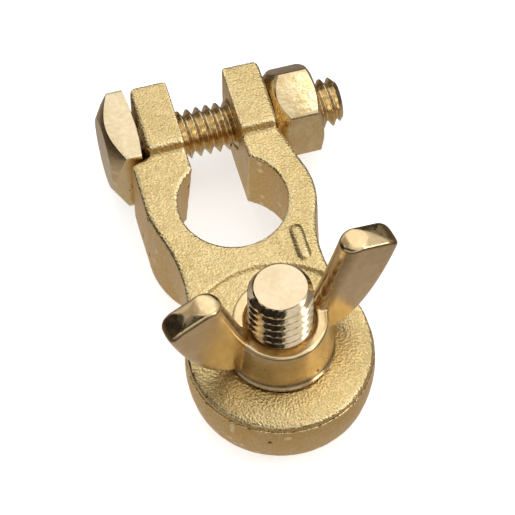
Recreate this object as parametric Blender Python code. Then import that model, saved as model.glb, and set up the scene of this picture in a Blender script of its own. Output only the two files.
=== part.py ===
"""Battery post clamp with a wing nut stud. Metres, +Z up.

The origin is on the axis of the post bore, level with the underside of the ring.
+X runs along the clamp bolt towards its nut, and +Y from the bore towards the ears.
"""

import math

import bmesh
import bpy
from mathutils import Matrix, Vector

MM = 0.001

# Casting: the ring, its bore and the two arms.
BODY_HEIGHT = 11.4 * MM
RING_RADIUS_TOP = 10.6 * MM
RING_RADIUS_FOOT = 11.0 * MM
BORE_RADIUS_TOP = 6.9 * MM
BORE_TAPER = 1 / 9  # change of diameter over height, as on a battery post
SLOT_WIDTH = 7.4 * MM
SLOT_DRAFT = 0.9 * MM  # how much further left the slot runs at its foot
LEFT_ARM_X = -10.95 * MM
LEFT_ARM_START_Y = -1.2 * MM
RIGHT_ARM_ANGLE = 19.0  # degrees from +X where the arm leaves the ring
EDGE_ROUND = 0.45 * MM

# Ears that carry the clamp bolt.
EAR_THICKNESS = 4.85 * MM
EAR_LENGTH = 9.7 * MM
EAR_RISE = 1.2 * MM  # of the ears above the ring
EAR_CENTRE_Y = 14.5 * MM

# Neck and round pad.
PAD_CENTRE_Y = -21.8 * MM
PAD_RADIUS = 11.35 * MM
PAD_BULGE = 0.4 * MM
SPOTFACE_DEPTH = 0.4 * MM
PAD_THICKNESS = 8.4 * MM
PAD_FOOT_ROUND = 1.1 * MM
PAD_FLOOR = 3.2 * MM  # metal left above the hexagonal pocket
NECK_FOOT = 4.2 * MM
WAIST_RADIUS_LEFT = 23.0 * MM
WAIST_RADIUS_RIGHT = 16.0 * MM
SPOTFACE_MARGIN = 0.12 * MM

# Raised minus bar on the neck.
MARK_X = 6.4 * MM
MARK_Y = -8.4 * MM
MARK_LENGTH = 5.0 * MM
MARK_WIDTH = 1.35 * MM
MARK_RISE = 0.4 * MM

# Clamp bolt, 1/4 inch by 20 to the inch, with a square head.
BOLT_DIAMETER = 6.35 * MM
BOLT_PITCH = 25.4 / 20 * MM
BOLT_AXIS_Z = 6.6 * MM
BOLT_LENGTH = 27.0 * MM
BOLT_PLAIN_LENGTH = 3.6 * MM
HEAD_ACROSS_FLATS = 10.7 * MM
HEAD_THICKNESS = 3.8 * MM
HEAD_CHAMFER_ANGLE = math.radians(33)
HEAD_FACE_RADIUS = 4.65 * MM
WASHER_FACE_RADIUS = 5.1 * MM
WASHER_FACE_THICKNESS = 0.6 * MM

# Clamp nut.
NUT_ACROSS_FLATS = 10.8 * MM
NUT_THICKNESS = 6.0 * MM
NUT_INNER_CHAMFER = 1.15 * MM
NUT_OUTER_CHAMFER = 0.5 * MM
NUT_TURN = math.radians(13.8)

# Stud, 5/16 inch by 18 to the inch, with a hexagonal head.
STUD_DIAMETER = 7.94 * MM
STUD_PITCH = 25.4 / 18 * MM
STUD_STANDOUT = 13.3 * MM  # above the pad
STUD_TIP_RADIUS = 2.9 * MM
STUD_HEAD_ACROSS_FLATS = 12.7 * MM
STUD_HEAD_THICKNESS = 5.2 * MM

# Wing nut.
WING_COLLAR_RADIUS = 6.8 * MM
WING_COLLAR_THICKNESS = 0.6 * MM
WING_HUB_RADIUS_FOOT = 6.25 * MM
WING_HUB_RADIUS_TOP = 5.7 * MM
WING_HUB_HEIGHT = 6.0 * MM
WING_TURN = math.radians(11.7)
WING_TIP_RADIUS = 15.3 * MM
WING_TIP_RISE = 16.6 * MM  # inner edge of a wing's end above the pad
WING_TIP_FALL = 2.6 * MM  # how much lower the outer edge of that end is
WING_TIP_WIDTH = 7.5 * MM
WING_THICKNESS = 3.4 * MM

# Fits.
JOINT_GAP = 0.3 * MM
HOLE_CLEARANCE = 0.3 * MM
POCKET_CLEARANCE = 0.3 * MM
THREAD_CLEARANCE = 0.18 * MM
THREAD_SIDES = 24
THREAD_DEPTH = 0.61343  # of the pitch

EAR_HEIGHT = BODY_HEIGHT + EAR_RISE
PAD_TOP = BODY_HEIGHT - SPOTFACE_DEPTH
STUD_TOP = PAD_TOP + STUD_STANDOUT
EAR_INNER_X = SLOT_WIDTH / 2
EAR_OUTER_X = EAR_INNER_X + EAR_THICKNESS
EAR_FRONT_Y = EAR_CENTRE_Y - EAR_LENGTH / 2
EAR_BACK_Y = EAR_CENTRE_Y + EAR_LENGTH / 2
LEDGE_Y = EAR_CENTRE_Y - HEAD_ACROSS_FLATS / 2 - 0.45 * MM
PAD_FOOT = PAD_TOP - PAD_THICKNESS
POCKET_TOP = PAD_TOP - PAD_FLOOR
BORE_RADIUS_FOOT = BORE_RADIUS_TOP + BODY_HEIGHT * BORE_TAPER / 2
BOLT_SEAT_X = -EAR_OUTER_X - JOINT_GAP
HEAD_BEARING_X = BOLT_SEAT_X - WASHER_FACE_THICKNESS
HEAD_END_X = HEAD_BEARING_X - HEAD_THICKNESS
BOLT_END_X = BOLT_SEAT_X + BOLT_LENGTH
NUT_BEARING_X = EAR_OUTER_X + JOINT_GAP
STUD_HEAD_TOP = POCKET_TOP - JOINT_GAP
WING_SEAT_Z = PAD_TOP + JOINT_GAP
BOLT_AXIS = Vector((0, EAR_CENTRE_Y, BOLT_AXIS_Z))
STUD_AXIS = Vector((0, PAD_CENTRE_Y, 0))
ALONG_X = Matrix(((0, 0, 1), (1, 0, 0), (0, 1, 0))).to_4x4()


def clear_scene():
    for old in list(bpy.data.objects):
        bpy.data.objects.remove(old, do_unlink=True)


def make_material(name, colour, roughness, metallic=1.0):
    material = bpy.data.materials.new(name)
    material.use_nodes = True
    shader = material.node_tree.nodes["Principled BSDF"]
    shader.inputs["Base Color"].default_value = (*colour, 1)
    shader.inputs["Metallic"].default_value = metallic
    shader.inputs["Roughness"].default_value = roughness
    material.diffuse_color = (*colour, 1)
    return material


def add_object(name, bm, material=None, cutter=False):
    """A mesh object from the bmesh, in world coordinates. A cutter isn't rendered."""
    bmesh.ops.recalc_face_normals(bm, faces=bm.faces)
    mesh = bpy.data.meshes.new(name)
    bm.to_mesh(mesh)
    bm.free()
    obj = bpy.data.objects.new(name, mesh)
    bpy.context.collection.objects.link(obj)
    if material:
        mesh.materials.append(material)
    if cutter:
        obj.hide_render = True
        obj.display_type = "WIRE"
    return obj


def combine(obj, other, operation):
    """Adds an exact Boolean of the object with another, which becomes a helper."""
    other.hide_render = True
    other.display_type = "WIRE"
    modifier = obj.modifiers.new(operation.lower() + "_" + other.name, "BOOLEAN")
    modifier.operation = operation
    modifier.solver = "EXACT"
    modifier.object = other


def loft(rings, bm=None, close_ends=True):
    """Closed rings of the same number of points, joined in order and capped."""
    bm = bm or bmesh.new()
    rows = [[bm.verts.new(point) for point in ring] for ring in rings]
    count = len(rows[0])
    for low, high in zip(rows, rows[1:]):
        for i in range(count):
            j = (i + 1) % count
            bm.faces.new((low[i], low[j], high[j], high[i]))
    if close_ends:
        bm.faces.new(list(reversed(rows[0])))
        bm.faces.new(rows[-1])
    return bm


def circle(radius, z, sides, turn=0.0):
    step = 2 * math.pi / sides
    return [
        Vector((radius * math.cos(turn + i * step), radius * math.sin(turn + i * step), z))
        for i in range(sides)
    ]


def lathe(profile, sides, turn=0.0):
    """A solid of revolution about Z from (radius, z) pairs, lowest first."""
    return loft([circle(radius, z, sides, turn) for radius, z in profile])


def box(low, high, rounding=0.0, segments=3):
    bm = bmesh.new()
    bmesh.ops.create_cube(bm, size=1)
    for vert in bm.verts:
        vert.co = [a + (c + 0.5) * (b - a) for a, b, c in zip(low, high, vert.co)]
    if rounding:
        bmesh.ops.bevel(
            bm, geom=bm.edges[:], offset=rounding, segments=segments,
            profile=0.5, affect="EDGES", clamp_overlap=True,
        )
    return bm


def arc(centre, radius, start, end, steps):
    """Points of an arc from one angle to another, in degrees, both ends included."""
    angles = [math.radians(start + (end - start) * i / steps) for i in range(steps + 1)]
    return [
        Vector((centre[0] + radius * math.cos(a), centre[1] + radius * math.sin(a)))
        for a in angles
    ]


def inset(outline, distance):
    """The counter-clockwise outline moved inwards along its mitred corner normals."""
    moved = []
    count = len(outline)
    for i in range(count):
        before = (outline[i] - outline[i - 1]).normalized()
        after = (outline[(i + 1) % count] - outline[i]).normalized()
        normal = Vector((-before.y - after.y, before.x + after.x)).normalized()
        spread = max(0.4, normal.dot(Vector((-before.y, before.x))))
        moved.append(outline[i] + normal * (distance / spread))
    return moved


def rounded_prism(outline, low, high, rounding, steps=3, draft=0.0):
    """The outline extruded upwards with a rounded top edge, and wider at its foot."""
    rings = [[Vector((p.x, p.y, low)) for p in inset(outline, -draft)]]
    for i in range(steps + 1):
        angle = math.pi / 2 * i / steps
        level = high - rounding + rounding * math.sin(angle)
        shift = rounding * (1 - math.cos(angle))
        rings.append([Vector((p.x, p.y, level)) for p in inset(outline, shift)])
    return loft(rings)


def waist_arc(ring_radius, pad_radius, fillet, side, steps=14):
    """The arc that touches the ring and the pad from outside, from ring to pad."""
    gap = -PAD_CENTRE_Y
    reach = (pad_radius + fillet) ** 2 - (ring_radius + fillet) ** 2
    centre_y = (reach - gap**2) / (2 * gap)
    centre_x = math.sqrt((ring_radius + fillet) ** 2 - centre_y**2)
    start = math.atan2(-centre_y, -centre_x)
    end = math.atan2(PAD_CENTRE_Y - centre_y, -centre_x)
    if start < 0:
        start += 2 * math.pi
    if end < 0:
        end += 2 * math.pi
    points = arc((centre_x, centre_y), fillet, math.degrees(start), math.degrees(end), steps)
    return [Vector((side * p.x, p.y)) for p in points]


def body_outline():
    """The ring, both arms and the neck seen from above, counter-clockwise."""
    radius = RING_RADIUS_TOP
    pad = PAD_RADIUS
    right_waist = waist_arc(radius, pad, WAIST_RADIUS_RIGHT, 1)
    left_waist = waist_arc(radius, pad, WAIST_RADIUS_LEFT, -1)
    right_start = math.degrees(math.atan2(right_waist[0].y, right_waist[0].x))
    left_start = math.degrees(math.atan2(left_waist[0].y, left_waist[0].x)) % 360
    left_end = 180 + math.degrees(math.asin(-LEFT_ARM_START_Y / radius))
    points = [
        Vector((LEFT_ARM_X + 1.9 * MM, LEDGE_Y + 0.2 * MM)),
        Vector((LEFT_ARM_X + 0.4 * MM, LEDGE_Y)),
        Vector((LEFT_ARM_X, LEDGE_Y - 0.5 * MM)),
        Vector((LEFT_ARM_X, LEFT_ARM_START_Y + 1.6 * MM)),
    ]
    points += arc((0, 0), radius, left_end + 9, left_start, 9)
    points += left_waist[1:]
    points += [Vector((-pad * 0.5, PAD_CENTRE_Y)), Vector((pad * 0.5, PAD_CENTRE_Y))]
    points += reversed(right_waist)
    points += arc((0, 0), radius, right_start, RIGHT_ARM_ANGLE, 16)[1:]
    points += [
        Vector((EAR_OUTER_X, EAR_FRONT_Y - 0.4 * MM)),
        Vector((EAR_OUTER_X - 1.0 * MM, EAR_FRONT_Y + 1.2 * MM)),
        Vector((-EAR_OUTER_X + 1.0 * MM, EAR_FRONT_Y + 1.2 * MM)),
        Vector((-EAR_OUTER_X + 0.1 * MM, LEDGE_Y + 0.6 * MM)),
    ]
    return points


def arms_outline():
    """The part of the outline that runs down to the foot of the ring."""
    radius = RING_RADIUS_TOP - 0.6 * MM
    right_touch = arc((0, 0), RING_RADIUS_TOP, RIGHT_ARM_ANGLE, 90, 1)[0]
    return [
        Vector((LEFT_ARM_X + 0.4 * MM, LEDGE_Y)),
        Vector((LEFT_ARM_X, LEDGE_Y - 0.5 * MM)),
        Vector((LEFT_ARM_X, LEFT_ARM_START_Y + 1.6 * MM)),
        *arc((0, 0), radius, 190, 350, 8),
        right_touch,
        Vector((EAR_OUTER_X, EAR_FRONT_Y - 0.4 * MM)),
        Vector((EAR_OUTER_X - 1.0 * MM, EAR_FRONT_Y + 1.2 * MM)),
        Vector((-EAR_OUTER_X + 1.0 * MM, EAR_FRONT_Y + 1.2 * MM)),
        Vector((-EAR_OUTER_X + 0.1 * MM, LEDGE_Y + 0.6 * MM)),
    ]


def pad_profile():
    """(radius, z) pairs of the pad's turned side, from the middle of its underside."""
    crisp = 0.12 * MM
    points = []
    for i in range(5):
        angle = math.pi / 2 * i / 4
        points.append((
            PAD_RADIUS - 0.2 * MM - PAD_FOOT_ROUND * (1 - math.sin(angle)),
            PAD_FOOT + PAD_FOOT_ROUND * (1 - math.cos(angle)),
        ))
    side = PAD_THICKNESS - PAD_FOOT_ROUND - crisp
    for i in range(1, 6):
        share = i / 5
        out = PAD_BULGE * math.sin(math.pi * min(1.0, share * 0.98)) ** 0.8
        points.append((
            PAD_RADIUS - 0.2 * MM * (1 - share) + out,
            PAD_FOOT + PAD_FOOT_ROUND + side * share,
        ))
    points.append((PAD_RADIUS - crisp, PAD_TOP))
    return points


def thread_solid(diameter, pitch, start, end, offset=0.0):
    """A right-handed helical thread about Z from one height to another, past both."""
    crest_radius = diameter / 2 + offset
    root_radius = crest_radius - THREAD_DEPTH * pitch
    half_flank = THREAD_DEPTH * math.tan(math.radians(30))
    crest = 1 / 8
    root = 1 - crest - 2 * half_flank
    stations = (
        (0.0, root_radius),
        (root, root_radius),
        (root + half_flank, crest_radius),
        (root + half_flank + crest, crest_radius),
    )
    turns = math.ceil((end - start) / pitch) + 2
    profile = [
        (start + (turn - 1 + share) * pitch, radius)
        for turn in range(turns + 1)
        for share, radius in stations
    ]
    bm = bmesh.new()
    sides = THREAD_SIDES
    per_turn = len(stations)
    columns = []
    for i in range(sides):
        angle = 2 * math.pi * i / sides
        rise = pitch * i / sides
        columns.append([
            bm.verts.new((radius * math.cos(angle), radius * math.sin(angle), z + rise))
            for z, radius in profile
        ])
    last = len(profile)
    for i in range(sides - 1):
        for k in range(last - 1):
            here, there = columns[i], columns[i + 1]
            bm.faces.new((here[k], there[k], there[k + 1], here[k + 1]))
    for k in range(last - 1 - per_turn):
        here, there = columns[-1], columns[0]
        bm.faces.new((
            here[k], there[k + per_turn], there[k + 1 + per_turn], here[k + 1],
        ))
    foot = bm.verts.new((0, 0, profile[0][0]))
    rim = [column[0] for column in columns] + columns[0][per_turn::-1]
    for a, b in zip(rim, rim[1:]):
        bm.faces.new((a, foot, b))
    head = bm.verts.new((0, 0, profile[-1][0] + pitch))
    rim = [column[-1] for column in columns]
    rim += columns[-1][last - 2:last - 2 - per_turn:-1]
    rim = [columns[0][-1]] + rim[1:]
    for a, b in zip(rim, rim[1:] + rim[:1]):
        bm.faces.new((a, b, head))
    return bm


def in_step(start, pitch, level):
    """The last turn of a thread from the start that begins below the level."""
    return start + math.floor((level - start) / pitch - 1) * pitch


def prism_nut(across_flats, low, high, sides, turn, low_chamfer, high_chamfer):
    """A hexagonal or square blank about Z with its corners turned off at both ends."""
    corner = across_flats / 2 / math.cos(math.pi / sides)
    blank = lathe([(corner, low), (corner, high)], sides, turn)
    flat = across_flats / 2 * 0.97
    spare = 0.5 * MM
    further = (corner + spare - flat) / (corner - flat)
    turning = lathe(
        [
            (flat, low),
            (corner + spare, low + low_chamfer * further),
            (corner + spare, high - high_chamfer * further),
            (flat, high),
        ],
        64,
        turn + 0.02,
    )
    return blank, turning


def place_about(obj, axis_point, turn_matrix=None):
    """Moves the mesh into place and puts the object's origin on its joint axis."""
    matrix = turn_matrix or Matrix.Identity(4)
    obj.data.transform(matrix)
    obj.location = axis_point


def shade(obj, degrees=35):
    """Smooth shading that keeps the edges steeper than the angle crisp."""
    graph = bpy.context.evaluated_depsgraph_get()
    mesh = bpy.data.meshes.new_from_object(obj.evaluated_get(graph))
    obj.modifiers.clear()
    old = obj.data
    mesh.name = obj.name
    obj.data = mesh
    bpy.data.meshes.remove(old)
    bm = bmesh.new()
    bm.from_mesh(mesh)
    for face in bm.faces:
        face.smooth = True
    for edge in bm.edges:
        edge.smooth = edge.calc_face_angle(0) < math.radians(degrees)
    bm.to_mesh(mesh)
    bm.free()


def make_body(material):
    body = add_object(
        "clamp_body",
        rounded_prism(body_outline(), NECK_FOOT, BODY_HEIGHT, EDGE_ROUND),
        material,
    )
    rim = 0.4 * MM
    ring = add_object("ring", lathe(
        [
            (RING_RADIUS_FOOT - rim, 0.0),
            (RING_RADIUS_FOOT, rim),
            (RING_RADIUS_TOP, BODY_HEIGHT - 0.6 * MM),
        ], 64), cutter=True)
    combine(body, ring, "UNION")
    arms = add_object(
        "arms",
        rounded_prism(arms_outline(), 0.0, BODY_HEIGHT - 0.1 * MM, EDGE_ROUND),
        cutter=True,
    )
    combine(body, arms, "UNION")
    for side, name in ((-1, "left_ear"), (1, "right_ear")):
        near, far = sorted((side * EAR_INNER_X * 0.7, side * EAR_OUTER_X))
        ear = add_object(name, box(
            (near, EAR_FRONT_Y, 0.0), (far, EAR_BACK_Y, EAR_HEIGHT), EDGE_ROUND,
        ), cutter=True)
        combine(body, ear, "UNION")
    pad = lathe(pad_profile(), 64)
    bmesh.ops.translate(pad, verts=pad.verts, vec=STUD_AXIS)
    combine(body, add_object("pad", pad, cutter=True), "UNION")

    spotface = lathe([
        (PAD_RADIUS + SPOTFACE_MARGIN, PAD_TOP),
        (PAD_RADIUS + SPOTFACE_MARGIN + 0.1 * MM, PAD_TOP + 3 * MM),
    ], 64)
    bmesh.ops.translate(spotface, verts=spotface.verts, vec=STUD_AXIS)
    combine(body, add_object("spotface", spotface, cutter=True), "DIFFERENCE")

    over = 1.0 * MM
    bore = add_object("post_bore", lathe([
        (BORE_RADIUS_FOOT + over * BORE_TAPER / 2, -over),
        (BORE_RADIUS_TOP - over * BORE_TAPER / 2, BODY_HEIGHT + over),
    ], 64), cutter=True)
    combine(body, bore, "DIFFERENCE")
    half = SLOT_WIDTH / 2
    end = EAR_BACK_Y + over
    slot = add_object("slot", loft([
        [
            Vector((-half - left, 0.0, z)),
            Vector((half, 0.0, z)),
            Vector((half, end, z)),
            Vector((-half - left, end, z)),
        ]
        for left, z in (
            (SLOT_DRAFT, -over), (SLOT_DRAFT, 0.0), (0.0, BODY_HEIGHT),
            (0.0, EAR_HEIGHT + over),
        )
    ]), cutter=True)
    combine(body, slot, "DIFFERENCE")

    reach = EAR_OUTER_X + over
    hole = BOLT_DIAMETER / 2 + HOLE_CLEARANCE
    bolt_hole = lathe([(hole, -reach), (hole, reach)], 40)
    bmesh.ops.transform(
        bolt_hole, matrix=Matrix.Translation(BOLT_AXIS) @ ALONG_X, verts=bolt_hole.verts
    )
    combine(body, add_object("bolt_hole", bolt_hole, cutter=True), "DIFFERENCE")

    hole = STUD_DIAMETER / 2 + HOLE_CLEARANCE
    stud_hole = lathe([(hole, PAD_FOOT), (hole, PAD_TOP + over)], 40)
    bmesh.ops.translate(stud_hole, verts=stud_hole.verts, vec=STUD_AXIS)
    combine(body, add_object("stud_hole", stud_hole, cutter=True), "DIFFERENCE")
    corner = (STUD_HEAD_ACROSS_FLATS / 2 + POCKET_CLEARANCE) / math.cos(math.pi / 6)
    pocket = lathe([(corner, PAD_FOOT - over), (corner, POCKET_TOP)], 6)
    bmesh.ops.translate(pocket, verts=pocket.verts, vec=STUD_AXIS)
    combine(body, add_object("pocket", pocket, cutter=True), "DIFFERENCE")

    half = MARK_WIDTH / 2
    straight = MARK_LENGTH / 2 - half
    bar = arc((MARK_X, MARK_Y + straight), half, 0, 180, 8)
    bar += arc((MARK_X, MARK_Y - straight), half, 180, 360, 8)
    mark = add_object("mark", rounded_prism(
        bar, BODY_HEIGHT - 0.6 * MM, BODY_HEIGHT + MARK_RISE, 0.25 * MM, 3,
    ), cutter=True)
    combine(body, mark, "UNION")
    shade(body)
    return body


def make_bolt(material):
    bolt = add_object("clamp_bolt", thread_solid(
        BOLT_DIAMETER, BOLT_PITCH, BOLT_SEAT_X, BOLT_END_X), material)
    radius = BOLT_DIAMETER / 2
    tip = 0.9 * MM
    envelope = add_object("bolt_envelope", lathe([
        (radius * 1.01, BOLT_SEAT_X),
        (radius * 1.01, BOLT_END_X - tip),
        (radius - tip, BOLT_END_X),
    ], 40), cutter=True)
    combine(bolt, envelope, "INTERSECT")
    shank = add_object("bolt_shank", lathe([
        (radius, HEAD_END_X + 1.0 * MM),
        (radius, BOLT_SEAT_X + BOLT_PLAIN_LENGTH),
        (radius - 0.8 * MM, BOLT_SEAT_X + BOLT_PLAIN_LENGTH + 0.8 * MM),
    ], 40), cutter=True)
    combine(bolt, shank, "UNION")
    washer_face = add_object("bolt_washer_face", lathe([
        (WASHER_FACE_RADIUS, HEAD_BEARING_X - 0.5 * MM),
        (WASHER_FACE_RADIUS, BOLT_SEAT_X - 0.15 * MM),
        (WASHER_FACE_RADIUS - 0.15 * MM, BOLT_SEAT_X),
    ], 48), cutter=True)
    combine(bolt, washer_face, "UNION")
    half = HEAD_ACROSS_FLATS / 2
    head = add_object("bolt_head", box(
        (-half, -half, HEAD_END_X), (half, half, HEAD_BEARING_X), 0.25 * MM, 2,
    ), cutter=True)
    combine(bolt, head, "UNION")
    corner = half * math.sqrt(2) + 0.5 * MM
    fall = (corner - HEAD_FACE_RADIUS) * math.tan(HEAD_CHAMFER_ANGLE)
    under = 0.35 * MM
    turned = add_object("head_turning", lathe([
        (HEAD_FACE_RADIUS, HEAD_END_X),
        (corner, HEAD_END_X + fall),
        (corner, HEAD_BEARING_X - under),
        (half * 1.12, HEAD_BEARING_X + 0.02 * MM),
        (half * 1.12, BOLT_END_X + 2 * MM),
    ], 64), cutter=True)
    combine(bolt, turned, "INTERSECT")
    shade(bolt)
    place_about(bolt, BOLT_AXIS, ALONG_X)
    return bolt


def make_nut(material):
    low, high = NUT_BEARING_X, NUT_BEARING_X + NUT_THICKNESS
    blank, turning = prism_nut(
        NUT_ACROSS_FLATS, low, high, 6, NUT_TURN,
        NUT_INNER_CHAMFER, NUT_OUTER_CHAMFER,
    )
    nut = add_object("clamp_nut", blank, material)
    combine(nut, add_object("nut_turning", turning, cutter=True), "INTERSECT")
    thread = add_object("nut_thread", thread_solid(
        BOLT_DIAMETER, BOLT_PITCH, in_step(BOLT_SEAT_X, BOLT_PITCH, low),
        high + BOLT_PITCH, THREAD_CLEARANCE,
    ), cutter=True)
    combine(nut, thread, "DIFFERENCE")
    mouth = BOLT_DIAMETER / 2 + 0.35 * MM
    depth = 0.8 * MM
    for name, z0, z1, r0, r1 in (
        ("nut_mouth_in", low - 0.1 * MM, low + depth, mouth, mouth - depth),
        ("nut_mouth_out", high - depth, high + 0.1 * MM, mouth - depth, mouth),
    ):
        combine(nut, add_object(name, lathe([(r0, z0), (r1, z1)], 44, 0.03), cutter=True),
                "DIFFERENCE")
    shade(nut)
    place_about(nut, BOLT_AXIS, ALONG_X)
    return nut


def make_stud(material):
    stud = add_object("stud", thread_solid(
        STUD_DIAMETER, STUD_PITCH, STUD_HEAD_TOP, STUD_TOP), material)
    radius = STUD_DIAMETER / 2
    tip = radius - STUD_TIP_RADIUS
    envelope = add_object("stud_envelope", lathe([
        (radius * 1.01, STUD_HEAD_TOP - 0.5 * MM),
        (radius * 1.01, STUD_TOP - tip * 0.75),
        (STUD_TIP_RADIUS, STUD_TOP),
    ], 40), cutter=True)
    combine(stud, envelope, "INTERSECT")
    blank, turning = prism_nut(
        STUD_HEAD_ACROSS_FLATS, STUD_HEAD_TOP - STUD_HEAD_THICKNESS, STUD_HEAD_TOP,
        6, 0.0, 0.7 * MM, 0.3 * MM,
    )
    head = add_object("stud_head", blank, cutter=True)
    combine(head, add_object("stud_head_turning", turning, cutter=True), "INTERSECT")
    combine(stud, head, "UNION")
    shade(stud)
    place_about(stud, STUD_AXIS)
    return stud


def wing_section(inner, outer, thickness, steps=4):
    """A slab across the wing: a round inner end and a squarer outer end."""
    across = (outer - inner).normalized()
    middle = (outer + inner) / 2
    half = thickness / 2
    reach = (outer - inner).length / 2 - half
    points = []
    for side, power in ((1, 0.55), (-1, 1.0)):
        for i in range(steps + 1):
            angle = side * (math.pi * i / steps - math.pi / 2)
            along = math.cos(angle) ** power if 0 < i < steps else 0.0
            depth = math.copysign(abs(math.sin(angle)) ** power, math.sin(angle))
            spot = middle + across * side * (reach + half * along)
            points.append(Vector((spot.x, half * depth, spot.y)))
    return points


def bezier(points, share):
    """A point of the quadratic curve through the first and last of three points."""
    rest = 1 - share
    first, pull, last = points
    return first * rest**2 + pull * 2 * rest * share + last * share**2


def make_wing(side):
    """One wing, lofted from inside the hub to its rounded end."""
    tip_top = PAD_TOP + WING_TIP_RISE
    tip_inner = WING_TIP_RADIUS - WING_TIP_WIDTH
    inner_edge = (
        Vector((WING_HUB_RADIUS_TOP * 0.60, WING_SEAT_Z + WING_HUB_HEIGHT * 0.55)),
        Vector((tip_inner * 0.66, WING_SEAT_Z + WING_TIP_RISE * 0.45)),
        Vector((tip_inner, tip_top)),
    )
    outer_edge = (
        Vector((WING_HUB_RADIUS_FOOT * 0.82, WING_SEAT_Z + 0.45 * MM)),
        Vector((WING_TIP_RADIUS * 0.72, WING_SEAT_Z + 0.6 * MM)),
        Vector((WING_TIP_RADIUS, tip_top - WING_TIP_FALL)),
    )
    steps = 8
    rings = [
        wing_section(
            bezier(inner_edge, i / steps), bezier(outer_edge, i / steps),
            WING_THICKNESS * (1 - 0.25 * (1 - i / steps) ** 3),
        )
        for i in range(steps + 1)
    ]
    last = rings[-1]
    middle = sum(last, Vector()) / len(last)
    across = (outer_edge[2] - inner_edge[2]).normalized()
    up = Vector((-across.y, 0, across.x))
    for size, lift in ((0.97, 0.12), (0.88, 0.28), (0.55, 0.45)):
        rings.append([middle + (p - middle) * size + up * lift * MM for p in last])
    bm = loft(rings)
    turn = Matrix.Rotation(WING_TURN + (0 if side > 0 else math.pi), 4, "Z")
    bmesh.ops.transform(bm, matrix=turn, verts=bm.verts)
    return bm


def make_wing_nut(material):
    top = WING_SEAT_Z + WING_HUB_HEIGHT
    collar = WING_SEAT_Z + WING_COLLAR_THICKNESS
    hub = add_object("wing_nut", lathe([
        (WING_COLLAR_RADIUS - 0.15 * MM, WING_SEAT_Z),
        (WING_COLLAR_RADIUS, WING_SEAT_Z + 0.15 * MM),
        (WING_COLLAR_RADIUS, collar - 0.1 * MM),
        (WING_HUB_RADIUS_FOOT + 0.1 * MM, collar + 0.1 * MM),
        (WING_HUB_RADIUS_FOOT, collar + 0.5 * MM),
        (WING_HUB_RADIUS_TOP + 0.1 * MM, top - 0.45 * MM),
        (WING_HUB_RADIUS_TOP - 0.12 * MM, top - 0.1 * MM),
        (WING_HUB_RADIUS_TOP - 0.4 * MM, top),
    ], 48), material)
    for side, name in ((1, "right_wing"), (-1, "left_wing")):
        combine(hub, add_object(name, make_wing(side), cutter=True), "UNION")
    thread = add_object("wing_thread", thread_solid(
        STUD_DIAMETER, STUD_PITCH, in_step(STUD_HEAD_TOP, STUD_PITCH, WING_SEAT_Z),
        top + STUD_PITCH, THREAD_CLEARANCE,
    ), cutter=True)
    combine(hub, thread, "DIFFERENCE")
    mouth = STUD_DIAMETER / 2 + 0.4 * MM
    depth = 0.9 * MM
    for name, z0, z1, r0, r1 in (
        ("wing_mouth_low", WING_SEAT_Z - 0.1 * MM, WING_SEAT_Z + depth, mouth, mouth - depth),
        ("wing_mouth_top", top - depth, top + 0.1 * MM, mouth - depth, mouth),
    ):
        combine(hub, add_object(name, lathe([(r0, z0), (r1, z1)], 44, 0.03), cutter=True),
                "DIFFERENCE")
    shade(hub)
    place_about(hub, STUD_AXIS)
    return hub


clear_scene()
make_body(make_material("cast_brass", (0.62, 0.47, 0.24), 0.55))
make_bolt(make_material("bolt_brass", (0.78, 0.62, 0.38), 0.32))
make_nut(make_material("nut_brass", (0.76, 0.60, 0.36), 0.32))
make_stud(make_material("stud_brass", (0.80, 0.70, 0.50), 0.22))
make_wing_nut(make_material("wing_brass", (0.72, 0.50, 0.22), 0.25))
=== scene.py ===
import bpy
import bmesh
import math
from mathutils import Matrix, Vector


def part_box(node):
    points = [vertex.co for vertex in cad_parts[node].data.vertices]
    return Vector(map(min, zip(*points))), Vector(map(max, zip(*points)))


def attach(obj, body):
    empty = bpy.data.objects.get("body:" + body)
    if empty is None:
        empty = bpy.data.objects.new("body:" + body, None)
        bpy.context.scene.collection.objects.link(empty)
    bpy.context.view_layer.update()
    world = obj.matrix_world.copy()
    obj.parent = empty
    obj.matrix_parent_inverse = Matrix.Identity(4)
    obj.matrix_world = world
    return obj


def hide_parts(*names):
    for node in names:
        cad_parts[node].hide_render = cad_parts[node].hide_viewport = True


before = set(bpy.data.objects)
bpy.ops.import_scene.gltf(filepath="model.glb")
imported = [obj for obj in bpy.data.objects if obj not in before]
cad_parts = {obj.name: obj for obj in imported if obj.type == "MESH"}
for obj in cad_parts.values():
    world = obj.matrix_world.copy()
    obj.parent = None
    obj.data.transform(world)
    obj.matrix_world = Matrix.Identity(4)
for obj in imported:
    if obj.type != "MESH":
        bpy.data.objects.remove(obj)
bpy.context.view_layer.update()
mm = 0.001
tau = 2 * math.pi
print("frame loaded")


# where things are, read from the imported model

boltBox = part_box("clamp_bolt")
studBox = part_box("stud")
boltAxis = Vector((0, (boltBox[0][1] + boltBox[1][1]) / 2, (boltBox[0][2] + boltBox[1][2]) / 2))
studAxis = Vector(((studBox[0][0] + studBox[1][0]) / 2, (studBox[0][1] + studBox[1][1]) / 2, 0))
alongX = Matrix.Translation(boltAxis) @ Matrix(((0, 0, 1), (1, 0, 0), (0, 1, 0))).to_4x4()
alongZ = Matrix.Translation(studAxis)


# small helpers

def newObject(name, mesh):
    obj = bpy.data.objects.new(name, mesh)
    bpy.context.scene.collection.objects.link(obj)
    return obj


def flatten(obj):
    # the evaluated shape becomes a plain mesh and the modifiers go
    graph = bpy.context.evaluated_depsgraph_get()
    mesh = bpy.data.meshes.new_from_object(obj.evaluated_get(graph))
    old = obj.data
    obj.modifiers.clear()
    obj.data = mesh
    mesh.name = obj.name
    bpy.data.meshes.remove(old)
    return obj


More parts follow.
